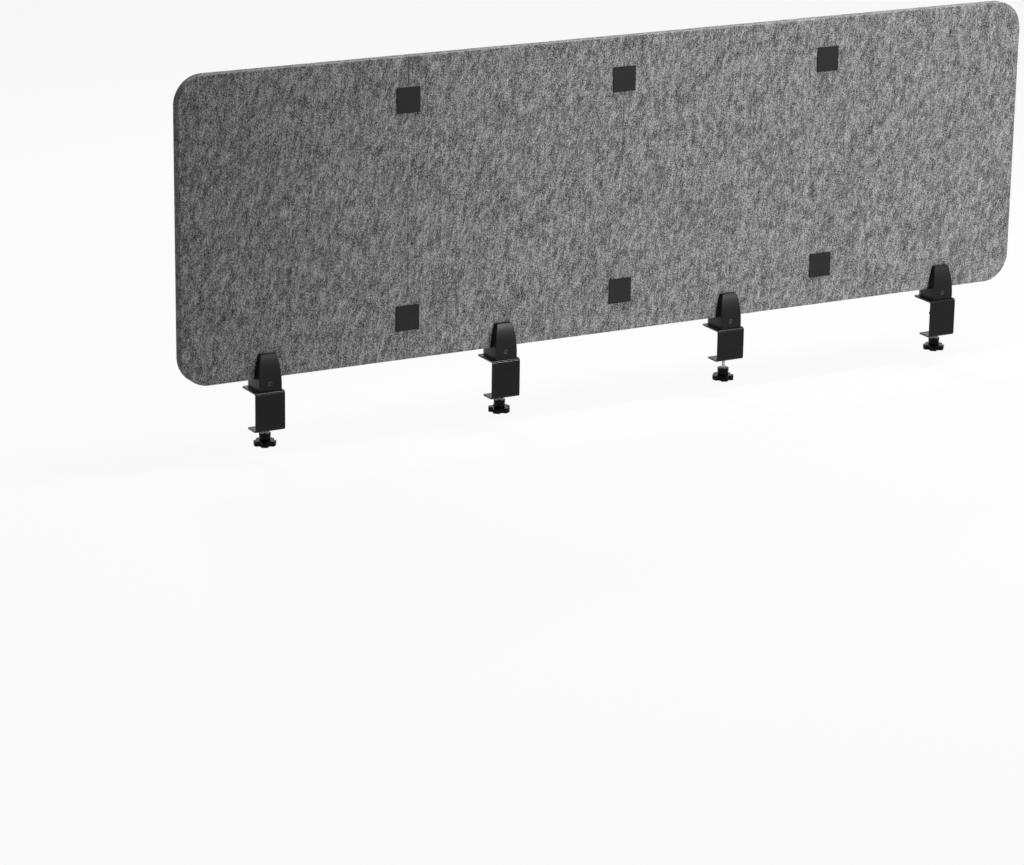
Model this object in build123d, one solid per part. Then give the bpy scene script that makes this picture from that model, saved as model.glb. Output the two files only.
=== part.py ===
from build123d import *
import os

# An acoustic divider screen that clamps to the edge of a desk: four sections
# of two-layer felt board, tied at their seams by square plates, held upright
# by four desk clamps with a pinch jaw above the desk and a knob screw below.
# X runs along the screen, Y points over the desk, Z is up. The origin lies on
# the desk's edge, in the plane of its top, half way along the screen.

# Felt panel
panel_length = 1600.0
panel_height = 500.0
layer_thickness = 10.0
panel_corner_radius = 48.0
section_count = 4
seam_gap = 0.5

# Square joining plates across the seams
joining_plate_side = 42.0
joining_plate_thickness = 2.0
joining_plate_corner_radius = 1.0
joining_plate_inset = 70.0
boss_radius = 4.0
boss_spread = 11.0
boss_short_of_plate = 0.6
boss_hole_clearance = 0.3
joining_screw_radius = 2.0
joining_screw_head_radius = 3.6
joining_screw_head_height = 1.7
joining_screw_length = 14.0

# Bent steel clamp bracket
sheet_thickness = 2.5
inner_bend_radius = 2.5
bracket_width = 52.0
bracket_plate_depth = 52.0
bracket_flange_depth = 32.0
tall_bracket_height = 66.0
short_bracket_height = 56.0
bracket_corner_radius = 3.0
tapped_boss_radius = 5.0
tapped_boss_height = 3.5
liner_thickness = 1.0
liner_margin = 1.5
liner_corner_radius = 2.5

# Places of the clamps along the screen and which of them has the short bracket
clamp_place_shares = (-0.410, -0.142, 0.131, 0.4055)
clamp_heights = (
    tall_bracket_height,
    tall_bracket_height,
    short_bracket_height,
    tall_bracket_height,
)

# How far round each clamp's knob stands, in degrees to its first notch
knob_turns = (64.0, 44.0, 68.0, 53.0)

# Panel holder: leaning front tower with the floor that the felt stands on
holder_width = 40.0
holder_flare = 2.0
holder_right_margin = 0.2
holder_height = 58.5
holder_upright_height = 8.0
holder_top_width = 25.5
holder_top_corner_radius = 2.2
holder_edge_fillet = 1.0
holder_foot_setback = 6.7
holder_lean = 8.3
holder_floor_height = 17.0
felt_front_depth = 22.5
jaw_gap = 0.5

# Rear jaw that slides on the bracket plate
rear_jaw_foot_thickness = 8.5
rear_jaw_top_thickness = 5.0

# Socket screw that draws the rear jaw in
jaw_screw_radius = 2.5
jaw_screw_height = 11.0
jaw_screw_head_radius = 4.25
jaw_screw_head_height = 5.0
jaw_screw_head_sink = 1.0
jaw_socket_width = 4.0
jaw_socket_depth = 2.6
jaw_screw_tip_margin = 0.6

# Countersunk screws that hold the panel holder on the bracket plate
holder_screw_radius = 2.0
holder_screw_head_radius = 3.9
holder_screw_head_height = 1.9
holder_screw_length = 12.0
holder_screw_spread = 12.0
holder_screw_depth = 31.0

# Knob screw with its swivel pad
clamp_screw_radius = 3.0
clamp_screw_depth = 22.0
clamp_screw_point_chamfer = 0.6
desk_thickness = 24.0
pad_radius = 11.0
pad_height = 6.0
pad_neck_radius = 6.5
pad_rim_height = 2.5
pad_socket_depth = 3.5
pad_rim_chamfer = 0.5
collar_gap = 7.0
collar_radius = 9.8
collar_foot_radius = 9.2
collar_height = 12.5
collar_rim_chamfer = 0.6
knob_radius = 18.5
knob_thickness = 8.5
knob_lobes = 5
knob_notch_radius = 5.0
knob_notch_centre = 19.0
knob_lobe_fillet = 2.0
knob_edge_chamfer = 1.0
knob_insert_depth = 18.5

# Fits
thread_clearance = 0.05
running_clearance = 0.06
free_clearance = 0.3
overrun = 2.0

# How close two places on an outline count as the same
nearness = 0.01

# Places worked out from the sizes
panel_thickness = 2 * layer_thickness
spine_outer_y = -sheet_thickness
plate_bottom_z = liner_thickness
plate_top_z = plate_bottom_z + sheet_thickness
plate_rear_y = spine_outer_y + bracket_plate_depth
felt_front_y = spine_outer_y + felt_front_depth
felt_middle_y = felt_front_y + layer_thickness
felt_rear_y = felt_front_y + panel_thickness
felt_bottom_z = plate_top_z + holder_floor_height
felt_middle_z = felt_bottom_z + panel_height / 2
holder_offset = bracket_width / 2 - holder_right_margin - holder_flare - holder_width / 2
screw_axis_y = spine_outer_y + clamp_screw_depth
collar_top_z = plate_top_z - max(clamp_heights) - collar_gap


def rod_up(radius, x, y, bottom, top):
    """A round bar along Z between two heights."""
    bar = Cylinder(radius, top - bottom, align=(Align.CENTER, Align.CENTER, Align.MIN))
    return Pos(x, y, bottom) * bar


def rod_back(radius, x, z, front, rear):
    """A round bar along Y between two depths."""
    bar = Cylinder(radius, rear - front, align=(Align.CENTER, Align.CENTER, Align.MIN))
    return Pos(x, front, z) * Rot(-90, 0, 0) * bar


def block(x_low, x_high, y_low, y_high, z_low, z_high):
    """A rectangular block between its low and high corners."""
    solid = Box(
        x_high - x_low,
        y_high - y_low,
        z_high - z_low,
        align=(Align.MIN, Align.MIN, Align.MIN),
    )
    return Pos(x_low, y_low, z_low) * solid


def countersunk(head_radius, head_height, shank_radius, length):
    """A countersunk screw shape along +Z, with its flat head at the origin."""
    profile = Polyline(
        (0, 0),
        (head_radius, 0),
        (shank_radius, head_height),
        (shank_radius, length),
        (0, length),
        (0, 0),
    )
    face = make_face(Plane.XZ * profile)
    return revolve(face, Axis.Z)


def seam_places():
    """The X places of the seams between the sections."""
    width = panel_length / section_count
    return [(n + 1) * width - panel_length / 2 for n in range(section_count - 1)]


def plate_rows():
    """The heights of the two rows of joining plates, lower row first."""
    half = panel_height / 2 - joining_plate_inset
    return [felt_middle_z - half, felt_middle_z + half]


def boss_holes(front, rear):
    """Clearance holes for the bosses of every joining plate."""
    radius = boss_radius + boss_hole_clearance
    holes = []
    for x in seam_places():
        for z in plate_rows():
            for side in (-1, 1):
                holes.append(rod_back(radius, x + side * boss_spread, z, front, rear))
    return holes


def felt_layer(front_y):
    """One whole layer of felt with round corners, drilled for the bosses."""
    outline = RectangleRounded(panel_length, panel_height, panel_corner_radius)
    face = Plane.XZ.offset(-front_y) * Pos(0, felt_middle_z) * outline
    layer = extrude(face, -layer_thickness)
    return layer - boss_holes(front_y - overrun, front_y + layer_thickness + overrun)


def felt_section(layer, number):
    """The numbered section of a layer, short of its seams by half the gap."""
    width = panel_length / section_count
    low = number * width - panel_length / 2
    at_left_end = number == 0
    at_right_end = number == section_count - 1
    window = block(
        low - overrun if at_left_end else low + seam_gap / 2,
        low + width + overrun if at_right_end else low + width - seam_gap / 2,
        felt_front_y - overrun,
        felt_rear_y + overrun,
        felt_bottom_z - overrun,
        felt_bottom_z + panel_height + overrun,
    )
    return layer & window


def square_plate(x, z, front_y):
    """A square joining plate with slightly rounded corners."""
    outline = RectangleRounded(joining_plate_side, joining_plate_side, joining_plate_corner_radius)
    face = Plane.XZ.offset(-front_y) * Pos(x, z) * outline
    return extrude(face, -joining_plate_thickness)


def front_joining_plate(x, z):
    """The plate on the clamp side, with a tapped boss in each section."""
    plate = square_plate(x, z, felt_front_y - joining_plate_thickness)
    boss_end = felt_rear_y - boss_short_of_plate
    for side in (-1, 1):
        plate += rod_back(boss_radius, x + side * boss_spread, z, felt_front_y, boss_end)
    for side in (-1, 1):
        tapping = joining_screw_radius + thread_clearance
        plate -= rod_back(
            tapping,
            x + side * boss_spread,
            z,
            felt_rear_y + joining_plate_thickness - joining_screw_length - free_clearance,
            felt_rear_y,
        )
    return plate


def joining_screw(x, z):
    """A countersunk screw from the desk side, its head flush with the plate."""
    screw = countersunk(
        joining_screw_head_radius,
        joining_screw_head_height,
        joining_screw_radius,
        joining_screw_length,
    )
    return Pos(x, felt_rear_y + joining_plate_thickness, z) * Rot(90, 0, 0) * screw


def rear_joining_plate(x, z):
    """The plate on the desk side, with two countersunk holes."""
    plate = square_plate(x, z, felt_rear_y)
    sink = countersunk(
        joining_screw_head_radius + thread_clearance,
        joining_screw_head_height,
        joining_screw_radius + thread_clearance,
        joining_plate_thickness + overrun,
    )
    for side in (-1, 1):
        place = Pos(x + side * boss_spread, felt_rear_y + joining_plate_thickness, z)
        plate -= place * Rot(90, 0, 0) * sink
    return plate


def bracket_profile(height):
    """The bent sheet seen from the side: top plate, spine and flange."""
    flange_bottom = plate_top_z - height
    plate_rear = plate_rear_y
    flange_rear = spine_outer_y + bracket_flange_depth
    sheet = Polyline(
        (plate_rear, plate_top_z),
        (spine_outer_y, plate_top_z),
        (spine_outer_y, flange_bottom),
        (flange_rear, flange_bottom),
        (flange_rear, flange_bottom + sheet_thickness),
        (0, flange_bottom + sheet_thickness),
        (0, plate_bottom_z),
        (plate_rear, plate_bottom_z),
        (plate_rear, plate_top_z),
    )
    face = make_face(sheet)
    outer = [v for v in face.vertices() if abs(v.X - spine_outer_y) < nearness]
    face = fillet(outer, inner_bend_radius + sheet_thickness)
    inner = [v for v in face.vertices() if abs(v.X) < nearness and on_inside(v, height)]
    return fillet(inner, inner_bend_radius)


def on_inside(vertex, height):
    """Whether a profile point is one of the two inner bend corners."""
    flange_top = plate_top_z - height + sheet_thickness
    at_plate = abs(vertex.Y - plate_bottom_z) < nearness
    at_flange = abs(vertex.Y - flange_top) < nearness
    return at_plate or at_flange


def clamp_bracket(x, height):
    """The C-shaped bracket with its tapped flange boss and countersunk holes."""
    face = Plane.YZ.offset(x - bracket_width / 2) * bracket_profile(height)
    bracket = extrude(face, bracket_width)
    free_ends = bracket.edges().filter_by(Axis.Z).group_by(Axis.Y)
    bracket = fillet(free_ends[-1] + free_ends[-2], bracket_corner_radius)
    flange_bottom = plate_top_z - height
    boss_foot = flange_bottom + sheet_thickness
    boss_top = boss_foot + tapped_boss_height
    bracket += rod_up(tapped_boss_radius, x, screw_axis_y, boss_foot, boss_top)
    tapping = clamp_screw_radius + running_clearance
    bracket -= rod_up(tapping, x, screw_axis_y, flange_bottom - overrun, boss_top + overrun)
    sink = countersunk(
        holder_screw_head_radius + thread_clearance,
        holder_screw_head_height,
        holder_screw_radius + thread_clearance,
        sheet_thickness + overrun,
    )
    for place in holder_screw_places(x):
        bracket -= place * sink
    return bracket


def holder_screw_places(x):
    """Where the two holder screws sit, with their heads in the plate's underside."""
    middle = x + holder_offset
    depth = spine_outer_y + holder_screw_depth
    return [Pos(middle + side * holder_screw_spread, depth, plate_bottom_z) for side in (-1, 1)]


def holder_screws(x):
    """The pair of countersunk screws under one panel holder."""
    screw = countersunk(
        holder_screw_head_radius,
        holder_screw_head_height,
        holder_screw_radius,
        holder_screw_length,
    )
    return [place * screw for place in holder_screw_places(x)]


def desk_liner(x):
    """The rubber sheet under the top plate that lies on the desk."""
    front = inner_bend_radius
    rear = plate_rear_y - liner_margin
    width = bracket_width - 2 * liner_margin
    outline = RectangleRounded(width, rear - front, liner_corner_radius)
    return extrude(Pos(x, (front + rear) / 2) * outline, liner_thickness)


def drawn_in(foot, top):
    """A line up from the foot that an arc carries on, over to the top."""
    bend = (foot, holder_upright_height)
    return Line((foot, 0), bend) + TangentArc(bend, (top, holder_height), tangent=(0, 1))


def jaw_outline(flare):
    """A jaw seen from outside: sides drawn in towards a top with round corners."""
    half_foot = holder_width / 2 + flare
    half_top = holder_top_width / 2 + flare
    sides = drawn_in(-half_foot, -half_top) + drawn_in(half_foot, half_top)
    foot = Line((-half_foot, 0), (half_foot, 0))
    top = Line((-half_top, holder_height), (half_top, holder_height))
    face = make_face(sides + foot + top)
    return fillet(face.vertices().group_by(Axis.Y)[-1], holder_top_corner_radius)


def outline_at(x, depth, flare):
    """A jaw's outline at a depth, standing on the bracket plate."""
    return Plane.XZ.offset(-depth) * Pos(x + holder_offset, plate_top_z) * jaw_outline(flare)


def flared(x, outer_y, felt_y):
    """A jaw's body, which widens from its outer side to its felt side."""
    return loft([outline_at(x, outer_y, 0), outline_at(x, felt_y, holder_flare)])


def side_cut(x, side_view):
    """A side view, drawn from the jaw's foot, made as wide as the holder's felt side."""
    width = holder_width + 2 * holder_flare
    left = x + holder_offset - width / 2
    return extrude(Plane.YZ.offset(left) * Pos(0, plate_top_z) * side_view, width)


def rounded_rim(jaw, outer_faces):
    """The jaw with the edges round its outer face rounded, apart from the foot."""
    bend_z = plate_top_z + holder_upright_height
    edges = [e for face in outer_faces for e in face.edges()]
    heights = (plate_top_z, bend_z)
    level = [e for e in edges if min(abs(e.center().Z - z) for z in heights) < nearness]
    return fillet([e for e in edges if e not in level], holder_edge_fillet)


def panel_holder(x):
    """The leaning front tower and the floor block behind it, in one casting."""
    foot = spine_outer_y + holder_foot_setback
    top = foot + holder_lean
    floor_rear = felt_rear_y - jaw_gap
    back = Polyline(
        (top, holder_height),
        (felt_front_y, holder_height),
        (felt_front_y, holder_floor_height),
        (floor_rear, holder_floor_height),
        (floor_rear, 0),
        (foot, 0),
    )
    side_view = make_face(drawn_in(foot, top) + back)
    floor = extrude(outline_at(x, felt_front_y, holder_flare), felt_front_y - floor_rear)
    holder = (flared(x, foot, felt_front_y) + floor) & side_cut(x, side_view)
    holder = rounded_rim(holder, holder.faces().sort_by(Axis.Y)[:2])
    holder -= jaw_screw_hole(x, floor_rear)
    tapping = holder_screw_radius + thread_clearance
    hole_top = plate_bottom_z + holder_screw_length + free_clearance
    for place in holder_screw_places(x):
        spot = place.position
        holder -= rod_up(tapping, spot.X, spot.Y, plate_top_z - overrun, hole_top)
    return holder


def jaw_head_seat():
    """The depth at which the head of the jaw screw bears in its counterbore."""
    face_y = spine_outer_y + holder_foot_setback
    return face_y + jaw_screw_head_sink + jaw_screw_head_height


def jaw_screw_hole(x, rear):
    """The counterbore and the running hole for the jaw screw."""
    middle = x + holder_offset
    z = plate_top_z + jaw_screw_height
    seat = jaw_head_seat()
    head = rod_back(jaw_screw_head_radius + free_clearance, middle, z, spine_outer_y, seat)
    shank = rod_back(jaw_screw_radius + running_clearance, middle, z, seat - overrun, rear + overrun)
    return head + shank


def rear_jaw(x):
    """The jaw behind the felt, standing on the bracket plate, its outer face sloping."""
    foot = felt_rear_y + rear_jaw_foot_thickness
    side_view = Polyline(
        (felt_rear_y, 0),
        (felt_rear_y, holder_height),
        (felt_rear_y + rear_jaw_top_thickness, holder_height),
        (foot, 0),
        (felt_rear_y, 0),
    )
    jaw = flared(x, foot, felt_rear_y) & side_cut(x, make_face(side_view))
    jaw = rounded_rim(jaw, jaw.faces().sort_by(Axis.Y)[-1:])
    tapping = jaw_screw_radius + running_clearance
    z = plate_top_z + jaw_screw_height
    return jaw - rod_back(tapping, x + holder_offset, z, felt_rear_y - overrun, foot + overrun)


def jaw_screw(x):
    """The socket head screw that draws the rear jaw towards the tower."""
    middle = x + holder_offset
    z = plate_top_z + jaw_screw_height
    seat = jaw_head_seat()
    head_face = seat - jaw_screw_head_height
    tip = felt_rear_y + rear_jaw_foot_thickness - jaw_screw_tip_margin
    screw = rod_back(jaw_screw_head_radius, middle, z, head_face, seat)
    screw += rod_back(jaw_screw_radius, middle, z, seat, tip)
    hexagon = RegularPolygon(jaw_socket_width / 2, 6, major_radius=False)
    socket = extrude(Plane.XZ.offset(-head_face) * Pos(middle, z) * hexagon, -jaw_socket_depth)
    return screw - socket


def swivel_pad(x):
    """The round pad under the desk, with the socket for the screw's point."""
    top = -desk_thickness
    bottom = top - pad_height
    profile = Polyline(
        (0, top),
        (pad_radius - pad_rim_chamfer, top),
        (pad_radius, top - pad_rim_chamfer),
        (pad_radius, top - pad_rim_height),
        (pad_neck_radius, bottom),
        (0, bottom),
        (0, top),
    )
    pad = Pos(x, screw_axis_y, 0) * revolve(make_face(Plane.XZ * profile), Axis.Z)
    socket = clamp_screw_radius + running_clearance
    return pad - rod_up(socket, x, screw_axis_y, bottom - overrun, bottom + pad_socket_depth)


def clamp_screw(x):
    """The spindle from the pad's socket down into the knob."""
    tip = pad_socket_depth - desk_thickness - pad_height
    foot = collar_top_z - knob_insert_depth
    screw = rod_up(clamp_screw_radius, x, screw_axis_y, foot, tip)
    return chamfer(screw.edges().group_by(Axis.Z)[-1], clamp_screw_point_chamfer)


def knob_head_outline(turn):
    """The lobed outline of the knob: a disc with a round notch between lobes."""
    outline = Circle(knob_radius)
    for notch in PolarLocations(knob_notch_centre, knob_lobes, turn):
        outline -= notch * Circle(knob_notch_radius)
    return fillet(outline.vertices(), knob_lobe_fillet)


def clamp_knob(x, turn):
    """The star knob with the round collar above it, bored for the screw."""
    collar_foot = collar_top_z - collar_height
    knob_foot = collar_foot - knob_thickness
    head = extrude(Pos(0, 0, knob_foot) * knob_head_outline(turn), knob_thickness)
    rims = head.edges().group_by(Axis.Z)
    head = chamfer(rims[0] + rims[-1], knob_edge_chamfer)
    collar = Cone(
        collar_foot_radius,
        collar_radius,
        collar_height,
        align=(Align.CENTER, Align.CENTER, Align.MIN),
    )
    collar = chamfer(collar.edges().group_by(Axis.Z)[-1], collar_rim_chamfer)
    knob = head + Pos(0, 0, collar_foot) * collar
    bore = clamp_screw_radius + thread_clearance
    knob -= rod_up(bore, 0, 0, collar_top_z - knob_insert_depth, collar_top_z + overrun)
    return Pos(x, screw_axis_y, 0) * knob


def write(name, solids):
    """Write the solids of one node to its STEP file and print their volume."""
    if not isinstance(solids, list):
        solids = [solids]
    pieces = [piece for solid in solids for piece in solid.solids()]
    shape = pieces[0] if len(pieces) == 1 else Compound(children=pieces)
    export_step(shape, f"parts/{name}.step")
    print(f"{name}: {len(pieces)} solid(s), {sum(p.volume for p in pieces):.0f} mm3")


def write_panel():
    """Write the felt sections, the joining plates and their screws."""
    front_layer = felt_layer(felt_front_y)
    rear_layer = felt_layer(felt_middle_y)
    for number in range(section_count):
        write(f"front_felt_board_{number + 1}", felt_section(front_layer, number))
        write(f"rear_felt_board_{number + 1}", felt_section(rear_layer, number))
    screws = []
    for seam, x in enumerate(seam_places()):
        for row, z in zip(("lower", "upper"), plate_rows()):
            write(f"front_joining_plate_{row}_{seam + 1}", front_joining_plate(x, z))
            write(f"rear_joining_plate_{row}_{seam + 1}", rear_joining_plate(x, z))
            screws += [joining_screw(x + side * boss_spread, z) for side in (-1, 1)]
    write("joining_screws", screws)


def write_clamp(number, x, height, turn):
    """Write the nine pieces of one clamp."""
    write(f"clamp_bracket_{number}", clamp_bracket(x, height))
    write(f"desk_liner_{number}", desk_liner(x))
    write(f"panel_holder_{number}", panel_holder(x))
    write(f"holder_screws_{number}", holder_screws(x))
    write(f"rear_jaw_{number}", rear_jaw(x))
    write(f"jaw_screw_{number}", jaw_screw(x))
    write(f"swivel_pad_{number}", swivel_pad(x))
    write(f"clamp_screw_{number}", clamp_screw(x))
    write(f"clamp_knob_{number}", clamp_knob(x, turn))


os.makedirs("parts", exist_ok=True)
write_panel()
clamps = zip(clamp_place_shares, clamp_heights, knob_turns)
for number, (share, height, turn) in enumerate(clamps):
    write_clamp(number + 1, share * panel_length, height, turn)
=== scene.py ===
import bpy
from math import acos, asin, ceil, cos, pi, radians, sin, sqrt
from mathutils import Matrix, Vector


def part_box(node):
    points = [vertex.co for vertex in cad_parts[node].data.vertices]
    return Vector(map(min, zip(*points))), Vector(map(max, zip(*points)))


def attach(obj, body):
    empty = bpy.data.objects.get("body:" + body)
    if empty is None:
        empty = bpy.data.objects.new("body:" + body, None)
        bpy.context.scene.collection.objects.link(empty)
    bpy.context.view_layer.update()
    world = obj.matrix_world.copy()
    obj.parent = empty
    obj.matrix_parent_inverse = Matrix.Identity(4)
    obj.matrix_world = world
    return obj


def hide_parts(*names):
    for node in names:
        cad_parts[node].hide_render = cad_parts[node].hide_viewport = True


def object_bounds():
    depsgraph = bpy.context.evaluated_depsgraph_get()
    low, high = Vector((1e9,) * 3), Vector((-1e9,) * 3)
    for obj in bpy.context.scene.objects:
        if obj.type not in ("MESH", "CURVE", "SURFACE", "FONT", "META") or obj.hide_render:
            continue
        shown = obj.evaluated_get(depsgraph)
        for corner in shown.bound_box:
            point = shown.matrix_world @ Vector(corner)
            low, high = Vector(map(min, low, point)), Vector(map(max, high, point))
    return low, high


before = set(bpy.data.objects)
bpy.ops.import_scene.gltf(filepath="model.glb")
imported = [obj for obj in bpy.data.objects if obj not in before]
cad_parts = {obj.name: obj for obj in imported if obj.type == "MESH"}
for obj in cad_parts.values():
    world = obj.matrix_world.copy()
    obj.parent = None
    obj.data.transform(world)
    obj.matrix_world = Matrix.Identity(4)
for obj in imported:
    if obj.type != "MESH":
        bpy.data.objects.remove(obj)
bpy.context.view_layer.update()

# Lengths are in metres, and MM turns a size in millimetres into them
MM = 0.001

# Places closer than NEAR count as one, and points closer than DOUBLED are merged
NEAR = 0.05 * MM
DOUBLED = 0.002 * MM

# How far a cutting shape reaches past the face that it cuts
PAST = 1 * MM

# How squarely a face looks along a direction: over a share of 1, it faces that way
FACING = 0.7
FACING_SQUARELY = 0.9

# Sides of a round shape, small and large, and of a key socket
ROUND_SIDES = 48
BROAD_SIDES = 64
KEY_SIDES = 6

# Edges that turn by less than these angles, in degrees, are shaded smooth
CREASE = 30
FELT_CREASE = 40
THREAD_CREASE = 25
KNOB_CREASE = 35

# Edges that turn by more than these angles, in degrees, are rounded: on flat pieces and on turned ones
ROUNDED_PAST = 40
TURNED_ROUNDED_PAST = 50

# Counts of repeated pieces
SECTIONS = 4
SEAMS = 3
CLAMPS = 4

# Felt boards
CORNER_RADIUS = 48 * MM
CORNER_STEPS = 16
FELT_EDGE_RADIUS = 1.2 * MM
FELT_SEAM_RADIUS = 0.25 * MM
FELT_EDGE_STEPS = 3
FELT_SEAM_STEPS = 2

# Joining plates, their bosses and their screws
PLATE_THICKNESS = 2 * MM
PLATE_CORNER_RADIUS = 1 * MM
PLATE_CORNER_STEPS = 4
PLATE_EDGE_RADIUS = 0.25 * MM
BOSS_RADIUS = 4 * MM
BOSS_SPREAD = 11 * MM
BOSS_HOLE_RADIUS = 4.3 * MM
JOINING_SCREW_RADIUS = 2 * MM
JOINING_SCREW_HEAD_RADIUS = 3.6 * MM
JOINING_SCREW_HEAD_HEIGHT = 1.7 * MM
JOINING_SCREW_LENGTH = 14 * MM
JOINING_SCREW_KEY_RADIUS = 1.44 * MM
JOINING_SCREW_KEY_DEPTH = 1.1 * MM

# Bent brackets
SHEET = 2.5 * MM
OUTER_BEND_RADIUS = 5 * MM
BEND_STEPS = 8
FLANGE_DEPTH = 32 * MM
BRACKET_CORNER_RADIUS = 3 * MM
BRACKET_CORNER_STEPS = 6
BRACKET_EDGE_RADIUS = 0.25 * MM
TAPPED_BOSS_RADIUS = 5 * MM
TAPPED_BOSS_HEIGHT = 3.5 * MM
TAPPED_HOLE_RADIUS = 3.06 * MM

# Towers and rear jaws
JAW_HEIGHT = 58.5 * MM
JAW_FLARE = 2 * MM
UPRIGHT_HEIGHT = 8 * MM
SIDE_DRAW = 7.25 * MM
TOWER_LEAN = 8.3 * MM
REAR_JAW_TOP = 5 * MM
JAW_TOP_CORNER = 1.65 * MM
JAW_CORNER_STEPS = 6
JAW_RIM_RADIUS = 1 * MM
JAW_RIM_STEPS = 4
JAW_LEVELS = 14
JAW_SCREW_HEIGHT = 11 * MM
JAW_SCREW_HEAD_SINK = 1 * MM
JAW_SCREW_HEAD_HEIGHT = 5 * MM
JAW_SCREW_HEAD_RADIUS = 4.25 * MM
JAW_SCREW_RADIUS = 2.5 * MM
JAW_SCREW_KEY_RADIUS = 2.31 * MM
JAW_SCREW_KEY_DEPTH = 2.6 * MM
JAW_SCREW_EDGE = 0.4 * MM
COUNTERBORE_RADIUS = 4.55 * MM
JAW_HOLE_RADIUS = 2.56 * MM

# Clamp screws, swivel pads and star knobs
CLAMP_SCREW_RADIUS = 3 * MM
CLAMP_SCREW_PITCH = 1 * MM
THREAD_DEPTH = 0.55 * MM
THREAD_CREST_SHARE = 0.18
THREAD_STEPS = 24
THREAD_TURNS_BELOW_CUT = 1.5
THREAD_SPARE_TURNS = 3
THREAD_CUT_TOLERANCE = 0.001 * MM
PAD_NECK_RADIUS = 6.5 * MM
PAD_RIM_HEIGHT = 2.5 * MM
PAD_RIM_CHAMFER = 0.5 * MM
PAD_SOCKET_DEPTH = 3.55 * MM
KNOB_RADIUS = 18.5 * MM
KNOB_THICKNESS = 8.5 * MM
KNOB_LOBES = 5
KNOB_TURNS = (64, 44, 68, 53)
KNOB_NOTCH_RADIUS = 5 * MM
KNOB_NOTCH_CENTRE = 19 * MM
KNOB_LOBE_CORNER = 2 * MM
KNOB_CROWN_STEPS = 4
KNOB_CORNER_STEPS = 8
KNOB_NOTCH_STEPS = 14
KNOB_EDGE_RADIUS = 1 * MM
KNOB_EDGE_STEPS = 3
COLLAR_FOOT_RADIUS = 9.2 * MM
COLLAR_RADIUS = 9.8 * MM
COLLAR_EDGE = 0.6 * MM
KNOB_BORE_DEPTH = 18.5 * MM
KNOB_BORE_RADIUS = 3.05 * MM

# Camera
CAMERA_PLACE = (-3.0481, -5.1017, 1.6541)
CAMERA_AZIMUTH = radians(29.060)
CAMERA_PITCH = radians(-16.945)
CAMERA_ROLL = radians(0.814)
IMAGE_WIDTH = 1024
FOCAL_PIXELS = 3674.9
SENSOR_WIDTH = 36.0

# Floor, low enough for the knobs of clamps that are screwed wide open. It is painted off-white, and its
# glow is the share of plain white in it where it is seen directly
FLOOR_DROP = 28 * MM
FLOOR_SIZE = 60.0
FLOOR_PAINT = 0.82
FLOOR_GLOW = 0.92

# Light from all round
WORLD_LIGHT = 0.10

# Key lamp, from the front right, with a cone that ends on the screen's left section
KEY_PLACE = (3.4, -6.9, 2.9)
KEY_AIM = (1.25, 0, 0.3)
KEY_POWER = 905
KEY_RADIUS = 0.35
KEY_CONE = 26
KEY_CONE_BLEND = 0.38

# Overhead lamp, a long strip along the screen
OVERHEAD_PLACE = (1.1, -0.5, 2.6)
OVERHEAD_AIM = (1.1, 0, 0)
OVERHEAD_POWER = 60
OVERHEAD_LENGTH = 2.2
OVERHEAD_DEPTH = 0.4

# Back lamp, for the rear of the screen
BACK_PLACE = (0.6, 5.2, 4.4)
BACK_AIM = (0, 0, 0.2)
BACK_POWER = 650
BACK_RADIUS = 0.6
BACK_CONE = 45
BACK_CONE_BLEND = 0.5

# Places that several pieces share, from the frame
felt_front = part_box("front_felt_board_1")[0].y
felt_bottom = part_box("front_felt_board_1")[0].z
felt_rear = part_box("rear_felt_board_1")[1].y


def deselect_all():
    for item in bpy.context.selected_objects:
        item.select_set(False)


def take_up(piece):
    """Makes a piece the only one selected, and the active one."""
    deselect_all()
    bpy.context.view_layer.objects.active = piece
    piece.select_set(True)


def edit(piece):
    """Opens a piece in edit mode with nothing in it selected."""
    take_up(piece)
    bpy.ops.object.mode_set(mode="EDIT")
    bpy.ops.mesh.select_all(action="DESELECT")


def leave_edit():
    bpy.ops.object.mode_set(mode="OBJECT")


def choose(piece, kind, test):
    """Selects the edges or faces that pass a test, from edit mode and back to it."""
    bpy.ops.mesh.select_all(action="DESELECT")
    bpy.ops.mesh.select_mode(type="EDGE" if kind == "edges" else "FACE")
    leave_edit()
    for part in getattr(piece.data, "edges" if kind == "edges" else "polygons"):
        part.select = test(part)
    bpy.ops.object.mode_set(mode="EDIT")


def choose_rim(piece, direction, test):
    """Selects the edges round the faces that face a direction, where they pass a test."""
    bpy.ops.mesh.select_all(action="DESELECT")
    bpy.ops.mesh.select_mode(type="EDGE")
    leave_edit()
    facing = {}
    for face in piece.data.polygons:
        outward = face.normal.dot(Vector(direction)) > FACING
        for key in face.edge_keys:
            facing.setdefault(key, set()).add(outward)
    for edge in piece.data.edges:
        edge.select = len(facing[edge.key]) == 2 and test(edge)
    bpy.ops.object.mode_set(mode="EDIT")


def edge_ends(piece, edge):
    return [piece.data.vertices[index].co for index in edge.vertices]


def alike(*values):
    """Whether lengths are the same to within a hair."""
    return max(values) - min(values) < NEAR


def set_in_place(piece):
    """Puts a piece's place, turn and size into its mesh."""
    take_up(piece)
    bpy.ops.object.transform_apply(location=True, rotation=True, scale=True)


def extrude(x, y, z):
    """Draws what is selected out by a shift."""
    bpy.ops.mesh.extrude_region_move(TRANSFORM_OT_translate={"value": (x, y, z)})


def resize(factors, centre):
    """Scales what is selected about a point."""
    bpy.ops.transform.resize(value=factors, center_override=centre)


def round_off(radius, steps):
    """Rounds the edges that are selected."""
    bpy.ops.mesh.bevel(offset=radius, segments=steps, affect="EDGES")


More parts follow.
